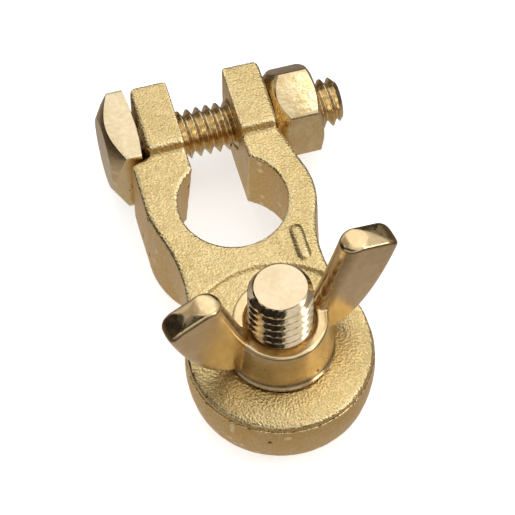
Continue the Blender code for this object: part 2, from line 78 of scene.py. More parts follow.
def dropObject(obj):
    mesh = obj.data
    bpy.data.objects.remove(obj)
    bpy.data.meshes.remove(mesh)


def joinInto(target, others):
    # moves the faces of the others into the target and drops their objects
    bm = bmesh.new()
    bm.from_mesh(target.data)
    for other in others:
        bm.from_mesh(other.data)
        dropObject(other)
    bm.to_mesh(target.data)
    bm.free()
    return target


def gridObject(name, rows, closedEnds=True):
    # rows of points around an axis, first row lowest, skinned into one shell
    bm = bmesh.new()
    grid = [[bm.verts.new(point) for point in row] for row in rows]
    count = len(rows[0])
    for low, high in zip(grid, grid[1:]):
        for i in range(count):
            j = (i + 1) % count
            bm.faces.new((low[i], low[j], high[j], high[i]))
    if closedEnds:
        for row, flip in ((grid[0], True), (grid[-1], False)):
            centre = bm.verts.new(sum((v.co for v in row), Vector()) / count)
            for i in range(count):
                pair = (row[i], row[(i + 1) % count])
                bm.faces.new((centre, *(reversed(pair) if flip else pair)))
    else:
        for i in range(count):
            j = (i + 1) % count
            bm.faces.new((grid[-1][i], grid[-1][j], grid[0][j], grid[0][i]))
    bmesh.ops.recalc_face_normals(bm, faces=bm.faces)
    for face in bm.faces:
        face.smooth = True
    mesh = bpy.data.meshes.new(name)
    bm.to_mesh(mesh)
    bm.free()
    return newObject(name, mesh)


def softenEdges(obj, width, angle=24, segments=3, sharpFrom=50):
    bevel = obj.modifiers.new("soft edges", "BEVEL")
    bevel.limit_method = "ANGLE"
    bevel.angle_limit = math.radians(angle)
    bevel.width = width
    bevel.segments = segments
    bevel.use_clamp_overlap = True
    flatten(obj)
    for polygon in obj.data.polygons:
        polygon.use_smooth = True
    obj.data.set_sharp_from_angle(angle=math.radians(sharpFrom))
    return obj


def cutAway(obj, cutter):
    cut = obj.modifiers.new("cut", "BOOLEAN")
    cut.operation = "DIFFERENCE"
    cut.solver = "EXACT"
    cut.object = cutter
    cut.use_self = True
    flatten(obj)
    dropObject(cutter)


def remeshed(obj, voxel, smoothing, factor=0.5):
    # overlapping shells become one skin with rounded edges and filled corners
    remesh = obj.modifiers.new("one skin", "REMESH")
    remesh.mode = "VOXEL"
    remesh.voxel_size = voxel
    remesh.use_smooth_shade = True
    smooth = obj.modifiers.new("relax", "SMOOTH")
    smooth.factor = factor
    smooth.iterations = smoothing
    return flatten(obj)


def finishPiece(obj, node, body, material):
    obj.data.materials.clear()
    obj.data.materials.append(material)
    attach(obj, body)
    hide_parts(node)


# shader groups shared by the brass finishes

def newGroup(name, inputs, outputs):
    group = bpy.data.node_groups.new(name, "ShaderNodeTree")
    for label, kind, value in inputs:
        socket = group.interface.new_socket(name=label, in_out="INPUT", socket_type=kind)
        socket.default_value = value
    for label, kind in outputs:
        group.interface.new_socket(name=label, in_out="OUTPUT", socket_type=kind)
    return group, group.nodes.new("NodeGroupInput"), group.nodes.new("NodeGroupOutput")


def put(nodes, kind, **settings):
    node = nodes.new(kind)
    for key, value in settings.items():
        setattr(node, key, value)
    return node


def spread(tree, value, fromLow, fromHigh, toLow=0.0, toHigh=1.0, kind="LINEAR"):
    node = put(tree.nodes, "ShaderNodeMapRange", interpolation_type=kind)
    limits = {"From Min": fromLow, "From Max": fromHigh, "To Min": toLow, "To Max": toHigh}
    for label, number in limits.items():
        if isinstance(number, (int, float)):
            node.inputs[label].default_value = number
        else:
            tree.links.new(number, node.inputs[label])
    tree.links.new(value, node.inputs["Value"])
    return node.outputs["Result"]


def calc(tree, operation, *values):
    node = put(tree.nodes, "ShaderNodeMath", operation=operation)
    for socket, value in zip(node.inputs, values):
        if isinstance(value, (int, float)):
            socket.default_value = value
        else:
            tree.links.new(value, socket)
    return node.outputs[0]


def noiseAt(tree, vector, scale, detail, roughness=0.5, distortion=0.0):
    node = put(tree.nodes, "ShaderNodeTexNoise")
    values = {"Scale": scale, "Detail": detail, "Roughness": roughness, "Distortion": distortion}
    for label, value in values.items():
        if isinstance(value, (int, float)):
            node.inputs[label].default_value = value
        else:
            tree.links.new(value, node.inputs[label])
    tree.links.new(vector, node.inputs["Vector"])
    return node.outputs["Fac"]


grainShape = {
    "coarseDetail": 1.2, "coarseRoughness": 0.45, "fineRatio": 2.7, "pimpleFrom": 0.28, "pimpleTo": 0.72,
    "holeEdge": 0.06, "holeRim": 0.2, "pimpleShare": 0.8, "fineShare": 0.2, "pitDepth": 1.1,
    "crestHighlightFrom": 0.42, "crestHighlightTo": 0.68,
}


def buildBlastedGrain():
    # the fine pimpled skin that sand leaves, and the small dark holes in it
    shape = grainShape
    tree, given, out = newGroup(
        "blastedGrain",
        [("Grain Size", "NodeSocketFloat", 0.0004), ("Pit Size", "NodeSocketFloat", 0.0012),
         ("Pit Share", "NodeSocketFloat", 0.1)],
        [("Height", "NodeSocketFloat"), ("Pits", "NodeSocketFloat"), ("Crest Highlight", "NodeSocketFloat")],
    )
    place = tree.nodes.new("ShaderNodeTexCoord").outputs["Object"]
    grainScale = calc(tree, "DIVIDE", 1.0, given.outputs["Grain Size"])
    pitScale = calc(tree, "DIVIDE", 1.0, given.outputs["Pit Size"])
    coarse = noiseAt(tree, place, grainScale, shape["coarseDetail"], shape["coarseRoughness"])
    fine = noiseAt(tree, place, calc(tree, "MULTIPLY", grainScale, shape["fineRatio"]), 1.0)
    pimples = spread(tree, coarse, shape["pimpleFrom"], shape["pimpleTo"])
    cells = put(tree.nodes, "ShaderNodeTexVoronoi", feature="F1")
    tree.links.new(place, cells.inputs["Vector"])
    tree.links.new(pitScale, cells.inputs["Scale"])
    cells.inputs["Randomness"].default_value = 1.0
    chosen = put(tree.nodes, "ShaderNodeSeparateColor")
    tree.links.new(cells.outputs["Color"], chosen.inputs[0])
    picked = calc(tree, "LESS_THAN", chosen.outputs[0], given.outputs["Pit Share"])
    distance = cells.outputs["Distance"]
    hole = spread(tree, distance, shape["holeEdge"], shape["holeRim"], 1.0, 0.0, "SMOOTHSTEP")
    pits = calc(tree, "MULTIPLY", picked, hole)
    raised = calc(tree, "MULTIPLY", pimples, shape["pimpleShare"])
    height = calc(tree, "ADD", raised, calc(tree, "MULTIPLY", fine, shape["fineShare"]))
    height = calc(tree, "SUBTRACT", height, calc(tree, "MULTIPLY", pits, shape["pitDepth"]))
    tree.links.new(height, out.inputs["Height"])
    tree.links.new(pits, out.inputs["Pits"])
    # a painted highlight on the raised crests of the grain, from the same noise as its bumps
    tree.links.new(spread(tree, coarse, shape["crestHighlightFrom"], shape["crestHighlightTo"]), out.inputs["Crest Highlight"])
    return tree


def buildEdgeSheenAndCornerShade():
    # bright along edges, as rubbed wear and a painted highlight, and dark in inner corners as painted shade
    tree, given, out = newGroup(
        "edgeSheenAndCornerShade",
        [("Edge Start", "NodeSocketFloat", 0.52), ("Edge Full", "NodeSocketFloat", 0.6),
         ("Corner Start", "NodeSocketFloat", 0.48), ("Corner Full", "NodeSocketFloat", 0.4)],
        [("Edges", "NodeSocketFloat"), ("Corners", "NodeSocketFloat")],
    )
    point = tree.nodes.new("ShaderNodeNewGeometry").outputs["Pointiness"]
    # edges: lighter along sharp edges, rubbed wear with a painted highlight
    edges = spread(tree, point, given.outputs["Edge Start"], given.outputs["Edge Full"])
    # corners: painted shade that darkens inner corners and creases
    corners = spread(tree, point, given.outputs["Corner Start"], given.outputs["Corner Full"])
    tree.links.new(edges, out.inputs["Edges"])
    tree.links.new(corners, out.inputs["Corners"])
    return tree


stainShape = {
    "detail": 4.0, "patchRoughness": 0.55, "patchDistortion": 0.6, "smearRoughness": 0.6, "smearRatio": 3.0,
    "patchFrom": 0.36, "patchTo": 0.64, "smearFrom": 0.35, "smearTo": 0.65,
}


def buildTarnish():
    # slow drifts of colour and shine, and smears along one direction
    shape = stainShape
    tree, given, out = newGroup(
        "tarnish",
        [("Patch Size", "NodeSocketFloat", 0.006), ("Smear", "NodeSocketVector", (1.0, 1.0, 1.0))],
        [("Patches", "NodeSocketFloat"), ("Smears", "NodeSocketFloat")],
    )
    place = tree.nodes.new("ShaderNodeTexCoord").outputs["Object"]
    stretch = put(tree.nodes, "ShaderNodeVectorMath", operation="MULTIPLY")
    tree.links.new(place, stretch.inputs[0])
    tree.links.new(given.outputs["Smear"], stretch.inputs[1])
    scale = calc(tree, "DIVIDE", 1.0, given.outputs["Patch Size"])
    detail = shape["detail"]
    patches = noiseAt(tree, place, scale, detail, shape["patchRoughness"], shape["patchDistortion"])
    smearScale = calc(tree, "MULTIPLY", scale, shape["smearRatio"])
    smears = noiseAt(tree, stretch.outputs[0], smearScale, detail, shape["smearRoughness"])
    patches = spread(tree, patches, shape["patchFrom"], shape["patchTo"], kind="SMOOTHSTEP")
    smears = spread(tree, smears, shape["smearFrom"], shape["smearTo"], kind="SMOOTHSTEP")
    tree.links.new(patches, out.inputs["Patches"])
    tree.links.new(smears, out.inputs["Smears"])
    return tree


blastedGrain = buildBlastedGrain()
edgeSheenAndCornerShade = buildEdgeSheenAndCornerShade()
tarnish = buildTarnish()


def useGroup(tree, group, **values):
    node = tree.nodes.new("ShaderNodeGroup")
    node.node_tree = group
    for label, value in values.items():
        node.inputs[label.replace("_", " ")].default_value = value
    return node


def blend(tree, share, first, second):
    # a colour between two, each a socket or an RGB triple
    node = put(tree.nodes, "ShaderNodeMix", data_type="RGBA", blend_type="MIX")
    if isinstance(share, float):
        node.inputs[0].default_value = share
    else:
        tree.links.new(share, node.inputs[0])
    for socket, value in ((node.inputs[6], first), (node.inputs[7], second)):
        if isinstance(value, tuple):
            socket.default_value = (*value, 1)
        else:
            tree.links.new(value, socket)
    return node.outputs[2]


# where sideways faces take a painted light and shade colour instead of the up-facing one
wallPaintedLightRange = {"full": 0.25, "none": 0.8, "least": 0.55}
pitRoughness = 0.3


def brassMaterial(name, look):
    material = bpy.data.materials.new(name)
    material.use_nodes = True
    tree = material.node_tree
    shader = tree.nodes["Principled BSDF"]
    shader.inputs["Metallic"].default_value = 1.0
    shader.inputs["Specular IOR Level"].default_value = look["specular"]
    grain = useGroup(tree, blastedGrain, Grain_Size=look["grainSize"], Pit_Size=look["pitSize"],
                     Pit_Share=look["pitShare"])
    edges = useGroup(tree, edgeSheenAndCornerShade, **look["edges"])
    stain = useGroup(tree, tarnish, Patch_Size=look["patchSize"], Smear=look["smear"])
    colour = blend(tree, stain.outputs["Patches"], look["colour"], look["patchColour"])
    up = put(tree.nodes, "ShaderNodeSeparateXYZ")
    tree.links.new(tree.nodes.new("ShaderNodeNewGeometry").outputs["Normal"], up.inputs[0])
    # painted light and shade by facing: walls are darker than what faces up, and their tint is broken up by
    # the smears
    wall = spread(tree, up.outputs["Z"], wallPaintedLightRange["full"], wallPaintedLightRange["none"], look["wallPaintedLightShare"], 0.0)
    broken = spread(tree, stain.outputs["Smears"], 0.0, 1.0, wallPaintedLightRange["least"], 1.0)
    colour = blend(tree, calc(tree, "MULTIPLY", wall, broken), colour, look["wallPaintedLightColour"])
    # painted highlight on grain crests and edges (the edges partly rubbed wear), painted shade in inner
    # corners
    for mask, share, tint in (
        (grain.outputs["Crest Highlight"], look["crestHighlight"], look["crestHighlightColour"]),
        (edges.outputs["Edges"], look["edgeShare"], look["edgeWearAndHighlightColour"]),
        (edges.outputs["Corners"], look["cornerShadeShare"], look["dirtAndShadeColour"]),
    ):
        colour = blend(tree, calc(tree, "MULTIPLY", mask, share), colour, tint)
    colour = blend(tree, grain.outputs["Pits"], colour, look["dirtAndShadeColour"])
    tree.links.new(colour, shader.inputs["Base Color"])
    rough = spread(tree, stain.outputs["Smears"], 0.0, 1.0, *look["roughness"])
    polish = calc(tree, "MULTIPLY", edges.outputs["Edges"], look["edgeShine"])
    rough = calc(tree, "SUBTRACT", rough, polish)
    rough = calc(tree, "ADD", rough, calc(tree, "MULTIPLY", grain.outputs["Pits"], pitRoughness))
    tree.links.new(rough, shader.inputs["Roughness"])
    bump = tree.nodes.new("ShaderNodeBump")
    bump.inputs["Strength"].default_value = look["bump"]
    bump.inputs["Distance"].default_value = look["bumpDepth"]
    tree.links.new(grain.outputs["Height"], bump.inputs["Height"])
    tree.links.new(bump.outputs["Normal"], shader.inputs["Normal"])
    return material


castLook = {
    "specular": 0.5, "colour": (0.62, 0.455, 0.19), "patchColour": (0.69, 0.52, 0.24),
    "wallPaintedLightColour": (0.76, 0.46, 0.13), "wallPaintedLightShare": 0.8, "crestHighlight": 0.45, "crestHighlightColour": (0.86, 0.72, 0.42),
    "edgeWearAndHighlightColour": (0.95, 0.80, 0.46), "edgeShare": 0.9, "edgeShine": 0.12, "cornerShadeShare": 0.25,
    "dirtAndShadeColour": (0.16, 0.09, 0.035), "roughness": (0.26, 0.36), "bump": 1.0, "bumpDepth": 0.00006,
    "grainSize": 0.00028, "pitSize": 0.0022, "pitShare": 0.05, "patchSize": 0.007, "smear": (1.5, 1.5, 0.7),
    "edges": {"Edge_Start": 0.508, "Edge_Full": 0.545, "Corner_Start": 0.475, "Corner_Full": 0.39},
}
boltLook = {
    "specular": 0.5, "colour": (0.66, 0.54, 0.35), "patchColour": (0.61, 0.49, 0.30),
    "wallPaintedLightColour": (0.82, 0.64, 0.34), "wallPaintedLightShare": 0.8, "crestHighlight": 0.2, "crestHighlightColour": (0.90, 0.76, 0.50),
    "edgeWearAndHighlightColour": (0.98, 0.86, 0.58), "edgeShare": 0.5, "edgeShine": 0.06, "cornerShadeShare": 0.3,
    "dirtAndShadeColour": (0.34, 0.21, 0.08), "roughness": (0.17, 0.27), "bump": 0.3, "bumpDepth": 0.00004,
    "grainSize": 0.0006, "pitSize": 0.0016, "pitShare": 0.09, "patchSize": 0.003, "smear": (1.0, 1.6, 1.6),
    "edges": {"Edge_Start": 0.53, "Edge_Full": 0.65, "Corner_Start": 0.47, "Corner_Full": 0.35},
}
nutLook = {
    **boltLook, "colour": (0.72, 0.58, 0.34), "patchColour": (0.60, 0.44, 0.22),
    "wallPaintedLightColour": (0.72, 0.53, 0.26), "wallPaintedLightShare": 0.65, "patchSize": 0.0018, "pitShare": 0.16,
    "bump": 0.6,
}
studLook = {
    **boltLook, "colour": (0.70, 0.57, 0.38), "patchColour": (0.65, 0.51, 0.32),
    "wallPaintedLightColour": (0.86, 0.68, 0.36), "edgeShare": 0.0, "edgeShine": 0.0, "roughness": (0.11, 0.20),
    "bump": 0.2, "pitShare": 0.04, "smear": (3.0, 3.0, 0.4),
}
wingLook = {
    **boltLook, "colour": (0.76, 0.58, 0.32), "patchColour": (0.70, 0.51, 0.27),
    "wallPaintedLightColour": (0.68, 0.50, 0.31), "wallPaintedLightShare": 0.5, "roughness": (0.18, 0.27), "bump": 0.25,
    "bumpDepth": 0.00004, "grainSize": 0.0011, "pitShare": 0.03, "smear": (1.0, 1.0, 0.5),
    "edges": {"Edge_Start": 0.52, "Edge_Full": 0.6, "Corner_Start": 0.48, "Corner_Full": 0.4},
}
castBrass = brassMaterial("castBrass", castLook)
boltBrass = brassMaterial("boltBrass", boltLook)
nutBrass = brassMaterial("nutBrass", nutLook)
studBrass = brassMaterial("studBrass", studLook)
wingBrass = brassMaterial("wingBrass", wingLook)
print("brass finishes made")


# geometry node trees

def newTree(name, inputs, takesGeometry):
    tree = bpy.data.node_groups.new(name, "GeometryNodeTree")
    if takesGeometry:
        tree.interface.new_socket(name="Geometry", in_out="INPUT", socket_type="NodeSocketGeometry")
    keys = {}
    for label, kind, value in inputs:
        socket = tree.interface.new_socket(name=label, in_out="INPUT", socket_type=kind)
        if value is not None:
            socket.default_value = value
        keys[label] = socket.identifier
    tree.interface.new_socket(name="Geometry", in_out="OUTPUT", socket_type="NodeSocketGeometry")
    return tree, tree.nodes.new("NodeGroupInput"), tree.nodes.new("NodeGroupOutput"), keys


def closeTree(tree, geometry, given, out):
    realize = tree.nodes.new("GeometryNodeRealizeInstances")
    paint = tree.nodes.new("GeometryNodeSetMaterial")
    tree.links.new(geometry, realize.inputs["Geometry"])
    tree.links.new(realize.outputs["Geometry"], paint.inputs["Geometry"])
    tree.links.new(given.outputs["Material"], paint.inputs["Material"])
    tree.links.new(paint.outputs["Geometry"], out.inputs["Geometry"])


def buildThreadTree():
    # a rod about Z whose side is a right-handed helical thread with a turned tip
    tree, given, out, keys = newTree("helicalThread", [
        ("Diameter", "NodeSocketFloat", 6.35 * mm), ("Pitch", "NodeSocketFloat", 1.27 * mm),
        ("Bottom", "NodeSocketFloat", 0.0), ("Top", "NodeSocketFloat", 20 * mm),
        ("Plain Length", "NodeSocketFloat", 0.0), ("Depth", "NodeSocketFloat", 0.75 * mm),
        ("Root Width", "NodeSocketFloat", 0.12), ("Crest Start", "NodeSocketFloat", 0.9),
        ("Tip Radius", "NodeSocketFloat", 2.4 * mm), ("Tip Slope", "NodeSocketFloat", 1.0),
        ("Phase", "NodeSocketFloat", 0.0), ("Sides", "NodeSocketInt", 96),
        ("Rows Per Turn", "NodeSocketFloat", 14.0), ("Material", "NodeSocketMaterial", None),
    ], False)
    give = given.outputs
    length = calc(tree, "SUBTRACT", give["Top"], give["Bottom"])
    turns = calc(tree, "DIVIDE", length, give["Pitch"])
    rod = put(tree.nodes, "GeometryNodeMeshCylinder", fill_type="TRIANGLE_FAN")
    rod.inputs["Radius"].default_value = 1.0
    rod.inputs["Depth"].default_value = 1.0
    rod.inputs["Fill Segments"].default_value = 8  # rings that keep the edge wear and painted edge highlight near the rim
    tree.links.new(give["Sides"], rod.inputs["Vertices"])
    tree.links.new(calc(tree, "MULTIPLY", turns, give["Rows Per Turn"]), rod.inputs["Side Segments"])
    place = put(tree.nodes, "ShaderNodeSeparateXYZ")
    tree.links.new(tree.nodes.new("GeometryNodeInputPosition").outputs[0], place.inputs[0])
    x, y, z = place.outputs
    turn = calc(tree, "DIVIDE", calc(tree, "ARCTAN2", y, x), tau)
    height = calc(tree, "MULTIPLY_ADD", calc(tree, "ADD", z, 0.5), length, give["Bottom"])
    along = calc(tree, "DIVIDE", calc(tree, "SUBTRACT", height, give["Bottom"]), give["Pitch"])
    share = calc(tree, "FRACT", calc(tree, "ADD", calc(tree, "SUBTRACT", along, turn), give["Phase"]))
    ridge = calc(tree, "SUBTRACT", 1.0, calc(tree, "ABSOLUTE", calc(tree, "MULTIPLY_ADD", share, 2.0, -1.0)))
    rise = spread(tree, ridge, give["Root Width"], give["Crest Start"])
    cut = calc(tree, "MULTIPLY", calc(tree, "SUBTRACT", 1.0, rise), give["Depth"])
    begins = calc(tree, "ADD", give["Bottom"], give["Plain Length"])
    runOut = spread(tree, height, begins, calc(tree, "ADD", begins, give["Pitch"]), 0.0, 1.0, "SMOOTHSTEP")
    full = calc(tree, "MULTIPLY", give["Diameter"], 0.5)
    side = calc(tree, "SUBTRACT", full, calc(tree, "MULTIPLY", cut, runOut))
    below = calc(tree, "SUBTRACT", give["Top"], height)
    tip = calc(tree, "MULTIPLY_ADD", below, give["Tip Slope"], give["Tip Radius"])
    radius = calc(tree, "MINIMUM", side, tip)
    join = put(tree.nodes, "ShaderNodeCombineXYZ")
    tree.links.new(calc(tree, "MULTIPLY", x, radius), join.inputs[0])
    tree.links.new(calc(tree, "MULTIPLY", y, radius), join.inputs[1])
    tree.links.new(height, join.inputs[2])
    move = tree.nodes.new("GeometryNodeSetPosition")
    tree.links.new(rod.outputs["Mesh"], move.inputs["Geometry"])
    tree.links.new(join.outputs[0], move.inputs["Position"])
    shade = tree.nodes.new("GeometryNodeSetShadeSmooth")
    tree.links.new(move.outputs["Geometry"], shade.inputs["Geometry"])
    closeTree(tree, shade.outputs["Geometry"], given, out)
    return tree, keys


def buildSkinTree():
    # pushes a cast surface in and out by slow noise, so that nothing is dead flat
    tree, given, out, keys = newTree("castSkin", [
        ("Wave Size", "NodeSocketFloat", 4 * mm), ("Wave Depth", "NodeSocketFloat", 0.06 * mm),
        ("Grain Size", "NodeSocketFloat", 0.9 * mm), ("Grain Depth", "NodeSocketFloat", 0.02 * mm),
        ("Seed", "NodeSocketFloat", 3.0), ("Material", "NodeSocketMaterial", None),
    ], True)
    give = given.outputs
    place = tree.nodes.new("GeometryNodeInputPosition").outputs[0]
    push = None
    for size, depth in (("Wave Size", "Wave Depth"), ("Grain Size", "Grain Depth")):
        node = put(tree.nodes, "ShaderNodeTexNoise", noise_dimensions="4D")
        tree.links.new(place, node.inputs["Vector"])
        tree.links.new(give["Seed"], node.inputs["W"])
        tree.links.new(calc(tree, "DIVIDE", 1.0, give[size]), node.inputs["Scale"])
        node.inputs["Detail"].default_value = 2.0
        amount = calc(tree, "MULTIPLY", calc(tree, "SUBTRACT", node.outputs["Fac"], 0.5), give[depth])
        push = amount if push is None else calc(tree, "ADD", push, amount)
    offset = put(tree.nodes, "ShaderNodeVectorMath", operation="SCALE")
    tree.links.new(tree.nodes.new("GeometryNodeInputNormal").outputs[0], offset.inputs[0])
    tree.links.new(push, offset.inputs["Scale"])
    move = tree.nodes.new("GeometryNodeSetPosition")
    tree.links.new(give["Geometry"], move.inputs["Geometry"])
    tree.links.new(offset.outputs[0], move.inputs["Offset"])
    closeTree(tree, move.outputs["Geometry"], given, out)
    return tree, keys


threadTree, threadKeys = buildThreadTree()
skinTree, skinKeys = buildSkinTree()


def applyTree(obj, treeAndKeys, values):
    tree, keys = treeAndKeys
    modifier = obj.modifiers.new(tree.name, "NODES")
    modifier.node_group = tree
    for label, value in values.items():
        modifier[keys[label]] = value
    return flatten(obj)


threadSharpFrom = 30  # degrees, below the 31 between a thread's flank and the end face


def threadedRod(name, values, material, place):
    rod = newObject(name, bpy.data.meshes.new(name))
    applyTree(rod, (threadTree, threadKeys), {**values, "Material": material})
    rod.data.transform(place)
    rod.data.set_sharp_from_angle(angle=math.radians(threadSharpFrom))
    return rod


print("geometry trees built")


# turned and milled shapes

def polygonRadius(angle, sides, flat, turn, trim=0.0):
    step = tau / sides
    off = (angle - turn + step / 2) % step - step / 2
    return min(flat / math.cos(off), flat / math.cos(step / 2) - trim)


def ringAt(radii, heights, count, start=0.0):
    points = []
    for i in range(count):
        angle = start + tau * i / count
        radius = radii(angle)
        points.append(Vector((radius * math.cos(angle), radius * math.sin(angle), heights(angle))))
    return points


faceShares = (0.25, 0.6, 1.0)  # where a flat end face has rings, as shares of its radius
coneLip = 0.02 * mm


def millHead(name, size, place):
    # a square or hexagonal head whose end is turned to a cone, which leaves curved edges on the flats
    sign = 1 if size["end"] > size["back"] else -1
    count = size["steps"]

    def outline(angle):
        return polygonRadius(angle, size["sides"], size["acrossFlats"] / 2, size["turn"], size["trim"])

    def faceRing(end, share):
        return ringAt(lambda a: min(size[end + "Face"], outline(a)) * share, lambda a: size[end], count)

    def coneRing(end, inwards):
        def height(angle):
            fall = max(0.0, outline(angle) - size[end + "Face"]) * size[end + "Slope"]
            return size[end] + inwards * (fall + coneLip)
        return ringAt(outline, height, count)

    rows = [faceRing("back", share) for share in faceShares]
    rows += [coneRing("back", sign), coneRing("end", -sign)]
    rows += [faceRing("end", share) for share in reversed(faceShares)]
    head = gridObject(name, rows)
    head.data.transform(place)
    return softenEdges(head, size["edge"])


def turned(name, profile, place, count=96, closedEnds=True):
    rows = [ringAt(lambda a: radius, lambda a: height, count) for radius, height in profile]
    obj = gridObject(name, rows, closedEnds)
    obj.data.transform(place)
    return obj


nutThreadGap = 0.1 * mm


def threadRadius(angle, height, thread):
    # the same thread as the rods, opened by a clearance, for the inside of a nut
    share = ((height - thread["Bottom"]) / thread["Pitch"] - angle / tau + thread["Phase"]) % 1
    ridge = 1 - abs(2 * share - 1)
    rise = (ridge - thread["Root Width"]) / (thread["Crest Start"] - thread["Root Width"])
    rise = min(1.0, max(0.0, rise))
    return thread["Diameter"] / 2 - thread["Depth"] * (1 - rise) + nutThreadGap


def threadedWall(thread, low, high, mouth, count, start=0.0, rowsPerTurn=12):
    # rows from the top of the hole to its foot, opened to a cone at each mouth
    total = max(2, int((high - low) / thread["Pitch"] * rowsPerTurn))
    rows = []
    for i in range(total + 1):
        height = high - (high - low) * i / total
        cone = max(mouth - (height - low), mouth - (high - height))
        rows.append(ringAt(
            lambda a: max(threadRadius(a, height, thread), cone), lambda a: height, count, start))
    return rows


# casting: ring, ears, neck and pad

castSize = {
    "ledgeDepth": 0.65 * mm, "ringTop": 11.4 * mm, "earRise": 1.2 * mm,
    "earInner": 3.7 * mm, "earOuter": 8.55 * mm, "earFront": 9.65 * mm, "earBack": 19.35 * mm,
    "outerRound": 1.0 * mm, "innerRound": 0.6 * mm, "rampIn": 0.15 * mm, "rampOut": 0.25 * mm,
    "padTop": 11.0 * mm, "rimStart": 7.0 * mm, "rimEnd": 11.35 * mm, "rimStartY": 3 * mm,
    "rimFall": 0.55 * mm, "rimFade": 4 * mm, "rimDeep": 1.2 * mm, "rimMost": 1.2,
    "voxel": 0.22 * mm, "smoothing": 2, "weld": 0.001 * mm,
    "skin": {"Wave Size": 3.2 * mm, "Wave Depth": 0.10 * mm, "Grain Size": 0.9 * mm,
             "Grain Depth": 0.02 * mm, "Seed": 3.0},
}


def prism(name, outline, place):
    # a closed prism on an outline, both ends placed by the given function
    bm = bmesh.new()
    ends = [[bm.verts.new(place(u, v, end)) for u, v in outline] for end in (0, 1)]
    bm.faces.new(list(reversed(ends[0])))
    bm.faces.new(ends[1])
    for i in range(len(outline)):
        j = (i + 1) % len(outline)
        bm.faces.new((ends[0][i], ends[0][j], ends[1][j], ends[1][i]))
    bmesh.ops.recalc_face_normals(bm, faces=bm.faces)
    mesh = bpy.data.meshes.new(name)
    bm.to_mesh(mesh)
    bm.free()
    return newObject(name, mesh)


def rampBlock(name, nearX, farX):
    # the short slope from the ring's top up to an ear's top
    size = castSize
    ring, ear, front = size["ringTop"], size["ringTop"] + size["earRise"], size["earFront"]
    foot, back, sunk = front - size["ledgeDepth"], front + 0.6 * mm, ring - 0.6 * mm
    outline = [
        (foot - 0.1 * mm, ring - 0.05 * mm), (foot + 0.1 * mm, sunk), (back, sunk), (back, ear),
        (front + 0.05 * mm, ear), (front - 0.15 * mm, ear - 0.25 * mm), (foot + 0.18 * mm, ring + 0.22 * mm),
    ]
    return prism(name, outline, lambda y, z, end: ((nearX, farX)[end], y, z))


def cornerCutter(name, cornerX, cornerY, insideX, radius, steps=8):
    # what is cut away to round one upright corner at the back of an ear
    middleX, middleY = cornerX + insideX * radius, cornerY - radius
    farX, farY = cornerX - insideX * mm, cornerY + mm
    outline = [(farX, middleY), (farX, farY), (middleX, farY)]
    for i in range(steps + 1):
        angle = math.pi / 2 * i / steps
        x = middleX - insideX * radius * math.sin(angle)
        outline.append((x, middleY + radius * math.cos(angle)))
    return prism(name, outline, lambda x, y, end: (x, y, (-mm, 20 * mm)[end]))


def makeCasting():
    size = castSize
    casting = newObject("casting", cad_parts["clamp_body"].data.copy())
    bm = bmesh.new()
    bm.from_mesh(casting.data)
    bmesh.ops.remove_doubles(bm, verts=bm.verts, dist=size["weld"])
    bm.to_mesh(casting.data)
    bm.free()
    inner, outer = size["earInner"] + size["rampIn"], size["earOuter"] - size["rampOut"]
    joinInto(casting, [rampBlock("leftRamp", -outer, -inner), rampBlock("rightRamp", inner, outer)])
    cutters = []
    for side in (-1, 1):
        outerX, innerX, back = side * size["earOuter"], side * size["earInner"], size["earBack"]
        cutters.append(cornerCutter("outerCorner", outerX, back, -side, size["outerRound"]))
        cutters.append(cornerCutter("innerCorner", innerX, back, side, size["innerRound"]))
    cutAway(casting, joinInto(cutters[0], cutters[1:]))
    remeshed(casting, size["voxel"], size["smoothing"])
    for vertex in casting.data.vertices:
        # the pad's top falls a little towards its free rim
        out = Vector((vertex.co.x, vertex.co.y)) - Vector((studAxis.x, studAxis.y))
        if vertex.co.z > size["padTop"] - size["rimDeep"] and out.y < size["rimStartY"]:
            share = max(0.0, (out.length - size["rimStart"]) / (size["rimEnd"] - size["rimStart"]))
            fade = min(1.0, (size["rimStartY"] - out.y) / size["rimFade"])
            vertex.co.z -= size["rimFall"] * min(size["rimMost"], share) ** 2 * fade
    applyTree(casting, (skinTree, skinKeys), {**size["skin"], "Material": castBrass})
    for polygon in casting.data.polygons:
        polygon.use_smooth = True
    finishPiece(casting, "clamp_body", "casting", castBrass)
    print("casting:", len(casting.data.polygons), "faces")


makeCasting()


# clamp bolt: square head, washer face, plain shank and rolled thread

boltSize = {
    "diameter": 6.35 * mm, "pitch": 1.27 * mm, "seat": -8.85 * mm, "plain": 3.6 * mm,
    "headBack": -9.05 * mm, "headEnd": -13.25 * mm, "end": 18.15 * mm, "tipRadius": 2.35 * mm,
}
boltThread = {
    "Diameter": boltSize["diameter"], "Pitch": boltSize["pitch"], "Bottom": boltSize["seat"],
    "Top": boltSize["end"], "Plain Length": boltSize["plain"], "Depth": 0.6134 * boltSize["pitch"],
    "Root Width": 0.12, "Crest Start": 0.9, "Tip Radius": boltSize["tipRadius"], "Tip Slope": 1.0,
    "Phase": 11 / 12, "Sides": 96, "Rows Per Turn": 24.0,
}
boltHead = {
    "sides": 4, "acrossFlats": 10.7 * mm, "turn": 0.0, "trim": 0.05 * mm, "end": boltSize["headEnd"],
    "back": boltSize["headBack"], "endFace": 4.65 * mm, "endSlope": math.tan(math.radians(33)),
    "backFace": 6.0 * mm, "backSlope": 0.2, "steps": 160, "edge": 0.12 * mm,
}


